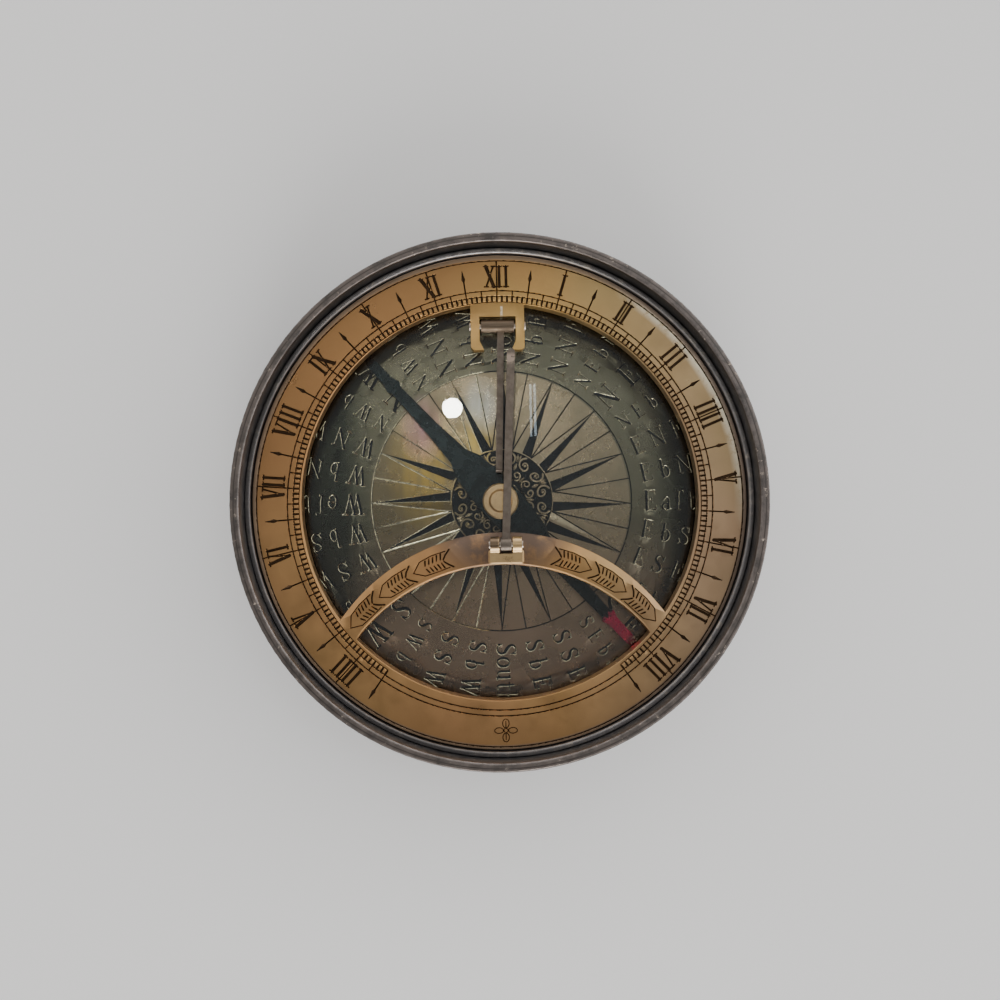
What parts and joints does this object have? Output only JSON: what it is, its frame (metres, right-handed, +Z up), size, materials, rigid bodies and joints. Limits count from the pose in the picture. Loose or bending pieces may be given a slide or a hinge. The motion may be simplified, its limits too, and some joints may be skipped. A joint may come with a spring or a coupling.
{
  "type": "pocket sundial compass",
  "caption": "Round brass pocket dial: a magnetic compass under glass with an hour ring, a fold-down gnomon bar and its folding prop.",
  "frame": {"origin": "centre of the flat underside of the case", "axes": "+Z up out of the dial face, +Y towards the XII of the hour ring, +X towards its east side"},
  "size_m": [0.075, 0.075, 0.016],
  "materials": {
    "black_bronze": "dark bronze patina worn to brown metal along its edges",
    "aged_brass": "aged, dull",
    "dark_brass": "dark, tarnished",
    "card_brass": "brushed green-brown brass, engraved",
    "glass": "clear flat glass",
    "steel": "turned",
    "pin_steel": "dull, peened ends",
    "blued_steel": "blued, south end painted crimson",
    "bright_brass": "satin with bright worn edges",
    "jewel": "polished",
    "ring_brass": "warm satin brass with dark-filled engraving",
    "oxidised_brass": "oxidised brown with bright tips"
  },
  "bodies": {
    "case": {"case_cup": "black_bronze", "inner_sleeve": "black_bronze", "card_support_ring": "aged_brass", "glass_spacer_ring": "dark_brass", "glass_retaining_ring": "aged_brass", "compass_card": "card_brass", "glass": "glass", "pivot_post": "steel", "pivot_washer": "aged_brass", "pivot_nut": "aged_brass", "hour_ring": "ring_brass", "gnomon_clevis": "bright_brass", "clevis_rivet": "aged_brass", "gnomon_pin": "pin_steel", "prop_pin": "pin_steel"},
    "compass_needle": {"needle": "blued_steel", "needle_cap": "bright_brass", "needle_jewel": "jewel"},
    "gnomon_bar": {"gnomon": "oxidised_brass"},
    "prop": {"prop_leg": "oxidised_brass"}
  },
  "joints": [
    {"name": "needle_spin", "type": "hinge", "parent": "case", "child": "compass_needle", "pos_m": [0, 0, 0.008], "axis": [0, 0, 1], "continuous": true},
    {"name": "gnomon_hinge", "type": "hinge", "parent": "case", "child": "gnomon_bar", "pos_m": [0.0005, -0.0063, 0.0143], "axis": [1, 0, 0], "range_deg": [0, 37]},
    {"name": "prop_hinge", "type": "hinge", "parent": "case", "child": "prop", "pos_m": [0, 0.0251, 0.0121], "axis": [-1, 0, 0], "range_deg": [0, 63]}
  ]
}
